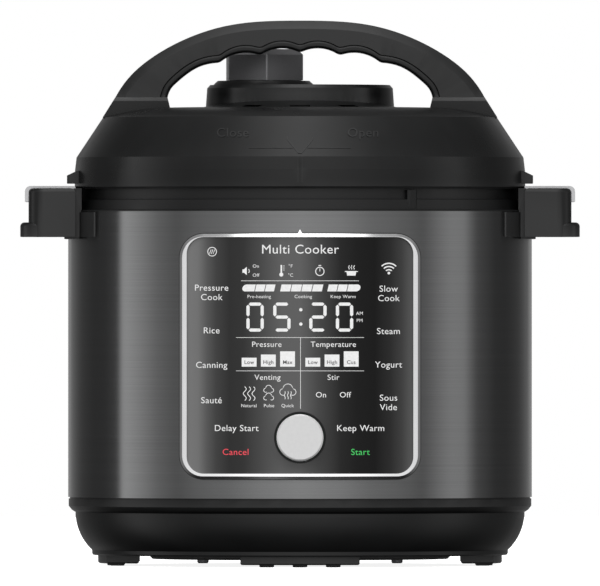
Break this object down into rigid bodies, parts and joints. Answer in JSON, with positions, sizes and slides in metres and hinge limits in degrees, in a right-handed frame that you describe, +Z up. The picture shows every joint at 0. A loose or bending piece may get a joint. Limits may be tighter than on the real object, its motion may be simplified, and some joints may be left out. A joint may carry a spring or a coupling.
{
  "type": "electric pressure cooker",
  "caption": "Countertop electric pressure cooker with turn-and-lift lid, steam release cap, dial panel and inner pot.",
  "frame": {"origin": "on the floor, on the pot's axis", "axes": "+X right seen from the front, -Y front with the dial, +Z up"},
  "size_m": [0.3348, 0.306, 0.3267],
  "materials": {
    "black_plastic": "fine moulded texture",
    "lid_plastic": "satin moulded",
    "rubber": "matt",
    "cover_steel": "matt powder coat",
    "fastener": "zinc plated",
    "black_steel": "black brushed round the body",
    "brushed_steel": "brushed",
    "trim_steel": "satin strap",
    "grip_plastic": "matt",
    "cast_aluminium": "machined casting",
    "sensor_aluminium": "spun",
    "circuit_board": "solder mask",
    "components": "moulded",
    "brass": "plated",
    "lead": "silicone insulation",
    "chrome": "polished",
    "smoked_panel": "gloss film with printed legends",
    "silver_knob": "satin silver paint",
    "clear_plastic": "clear moulded",
    "metal_look": "dark metallised",
    "silicone": "translucent white"
  },
  "bodies": {
    "cooker_base": {"base_shell": "black_plastic", "bottom_cover": "cover_steel", "base_screws": "fastener", "feet": "black_plastic", "foot_pads": "rubber", "housing_shell": "black_steel", "collar": "black_plastic", "side_handle_right": "black_plastic", "side_handle_left": "black_plastic", "side_trim_right": "trim_steel", "side_trim_left": "trim_steel", "handle_bolts": "fastener", "outer_pot": "brushed_steel", "inner_pot": "brushed_steel", "pot_grips": "grip_plastic", "heating_plate": "cast_aluminium", "heating_coil": "brushed_steel", "heater_posts": "brushed_steel", "sensor_bracket": "brushed_steel", "sensor_spring": "fastener", "pressure_switch": "black_plastic", "power_board": "circuit_board", "board_parts": "components", "power_inlet": "black_plastic", "inlet_pins": "brass", "wiring": "lead", "panel_carrier": "black_plastic", "panel_frame": "chrome", "panel_lens": "smoked_panel", "control_board": "circuit_board", "display_module": "components", "encoder_body": "black_plastic", "cup_bracket": "black_plastic", "drain_spout": "black_plastic"},
    "sensor": {"sensor_plunger": "sensor_aluminium"},
    "encoder": {"encoder_rotor": "black_plastic"},
    "dial": {"dial_shaft": "brushed_steel", "dial_knob": "silver_knob"},
    "cup": {"condensation_cup": "clear_plastic"},
    "seal": {"sealing_ring": "silicone"},
    "lid": {"lid_shell": "lid_plastic", "lid_handle": "lid_plastic", "handle_underside": "lid_plastic", "handle_screws": "fastener", "vent_pod": "lid_plastic", "release_pipe": "brushed_steel", "pipe_nut": "fastener", "anti_block_shield": "brushed_steel", "lid_liner": "brushed_steel", "liner_screws": "fastener", "ring_rack": "brushed_steel", "lock_guide": "black_plastic", "lock_spring": "fastener"},
    "diffuser": {"diffusing_cover": "metal_look"},
    "valve": {"release_valve": "brushed_steel"},
    "float": {"float_valve": "brushed_steel", "float_seal": "silicone"},
    "lock": {"lock_pin": "brushed_steel"}
  },
  "joints": [
    {"name": "lid_lift", "type": "slide", "parent": "cooker_base", "child": "seal", "axis": [0, 0, 1], "range_m": [0, 0.18]},
    {"name": "lid_turn", "type": "hinge", "parent": "seal", "child": "lid", "pos_m": [0, 0, 0.2256], "axis": [0, 0, 1], "range_deg": [0, 30]},
    {"name": "cover_lift", "type": "slide", "parent": "lid", "child": "diffuser", "axis": [0, 0, 1], "range_m": [0, 0.03]},
    {"name": "valve_lift", "type": "slide", "parent": "lid", "child": "valve", "axis": [0, 0, 1], "range_m": [0, 0.002]},
    {"name": "float_rise", "type": "slide", "parent": "lid", "child": "float", "axis": [0, 0, 1], "range_m": [0, 0.005]},
    {"name": "lock_slide", "type": "slide", "parent": "lid", "child": "lock", "axis": [0, -1, 0], "range_m": [0, 0.004], "stiffness_N_per_m": 400, "springref_m": -0.002, "deforming": ["lock_spring"]},
    {"name": "dial_turn", "type": "hinge", "parent": "cooker_base", "child": "encoder", "pos_m": [0, -0.1345, 0.0775], "axis": [0, 1, 0], "continuous": true},
    {"name": "dial_press", "type": "slide", "parent": "encoder", "child": "dial", "axis": [0, 1, 0], "range_m": [0, 0.0008], "stiffness_N_per_m": 2000, "springref_m": -0.0005},
    {"name": "sensor_press", "type": "slide", "parent": "cooker_base", "child": "sensor", "axis": [0, 0, -1], "range_m": [0, 0.0015], "stiffness_N_per_m": 900, "springref_m": -0.003, "deforming": ["sensor_spring"]},
    {"name": "cup_pull", "type": "slide", "parent": "cooker_base", "child": "cup", "axis": [0, 1, 0], "range_m": [0, 0.05]}
  ]
}
